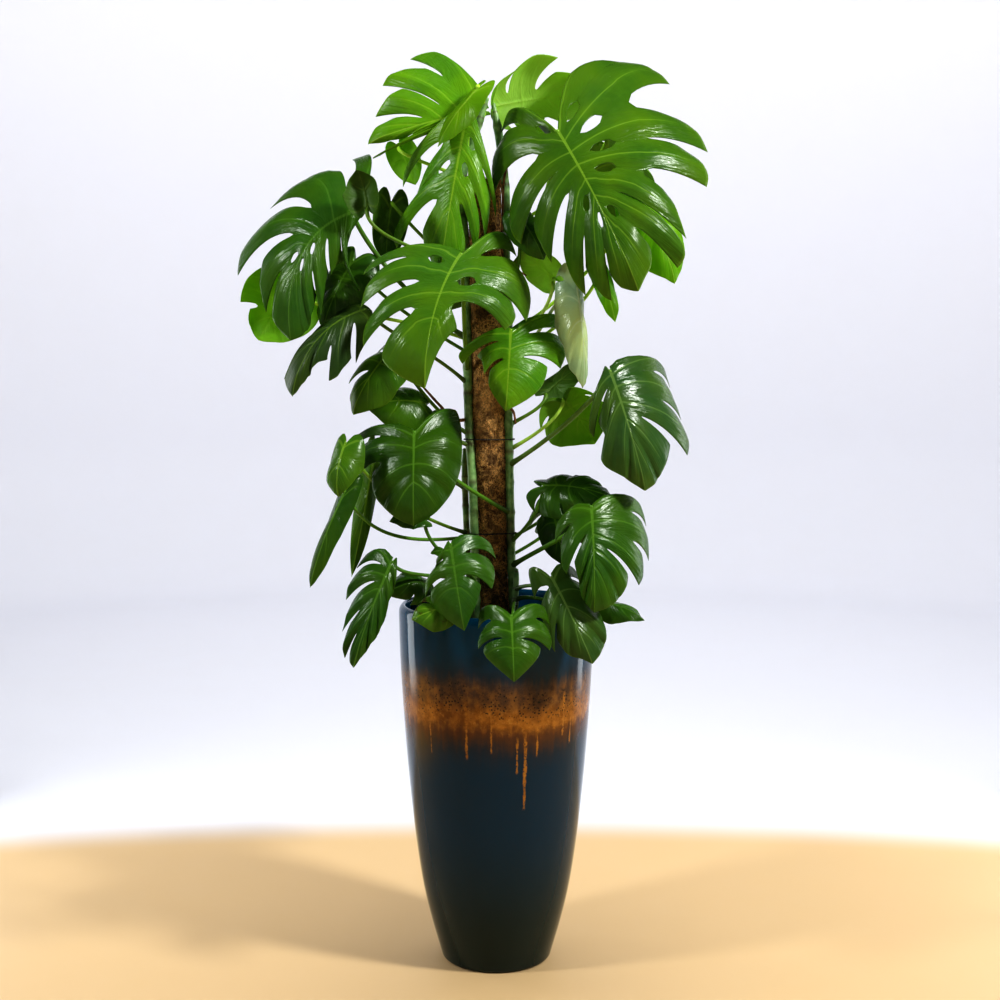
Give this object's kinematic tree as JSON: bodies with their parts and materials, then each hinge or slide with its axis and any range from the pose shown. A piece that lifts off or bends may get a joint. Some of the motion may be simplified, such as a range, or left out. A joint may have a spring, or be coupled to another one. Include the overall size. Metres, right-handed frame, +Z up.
{
  "type": "potted plant",
  "caption": "Tall split-leaf climbing plant on a coir pole, standing in soil in a tall rounded glazed planter, for decorating a room.",
  "frame": {"origin": "middle of the planter's flat base", "axes": "+Z up, -Y the side with the most leaves, +X to its right"},
  "size_m": [0.9108, 0.6402, 1.8143],
  "materials": {
    "glaze": "glossy reactive glaze, deep blue above, a speckled amber band, near black below",
    "soil": "loose dark potting mix",
    "coir": "matted coconut fibre",
    "stem": "smooth green stem",
    "cord": "dark twine",
    "root": "dry brown root",
    "leaf_dark": "glossy dark leaf",
    "leaf_mid": "glossy leaf",
    "leaf_lime": "young lime leaf"
  },
  "bodies": {
    "root": {"planter": "glaze", "potting_soil": "soil", "coir_pole": "coir", "stem_left": "stem", "stem_right": "stem", "stem_back": "stem", "stem_low_left": "stem", "stem_short_left": "stem", "stem_short_right": "stem", "tie_upper": "cord", "tie_lower": "cord", "aerial_root_long": "root", "aerial_root_left": "root", "aerial_root_short": "root", "leaf_crown_left": "leaf_mid", "leaf_crown_young": "leaf_lime", "leaf_crown_bright": "leaf_lime", "leaf_crown_pale": "leaf_lime", "leaf_top_right": "leaf_mid", "leaf_upper_left": "leaf_dark", "leaf_centre_front": "leaf_mid", "leaf_centre_heart": "leaf_mid", "leaf_olive_back": "leaf_mid", "leaf_olive_flap": "leaf_lime", "leaf_right_glossy": "leaf_dark", "leaf_left_heart": "leaf_dark", "leaf_left_pale": "leaf_mid", "leaf_left_curl": "leaf_mid", "leaf_left_strip_a": "leaf_dark", "leaf_left_strip_b": "leaf_mid", "leaf_low_left": "leaf_dark", "leaf_low_left_dark": "leaf_dark", "leaf_low_centre": "leaf_dark", "leaf_rim_spotted": "leaf_mid", "leaf_bottom_centre": "leaf_dark", "leaf_bottom_right": "leaf_dark", "leaf_right_low": "leaf_dark", "leaf_right_flat": "leaf_dark", "leaf_right_back": "leaf_dark", "leaf_right_small": "leaf_dark", "leaf_lime_left": "leaf_lime", "leaf_olive_arch": "leaf_dark", "leaf_behind_five": "leaf_dark", "leaf_behind_six": "leaf_mid", "leaf_olive_mid": "leaf_mid", "leaf_lime_right": "leaf_lime", "leaf_lime_lobe": "leaf_lime", "leaf_white_hang": "leaf_lime", "leaf_dark_fold": "leaf_dark", "leaf_under_tri": "leaf_lime", "leaf_dark_small": "leaf_dark", "leaf_upper_fold": "leaf_dark", "leaf_lime_tri": "leaf_lime", "leaf_small_mid": "leaf_dark", "leaf_back_top": "leaf_lime", "leaf_back_middle": "leaf_mid", "leaf_back_left": "leaf_dark", "leaf_back_low": "leaf_dark", "leaf_back_right": "leaf_dark"}
  },
  "joints": []
}
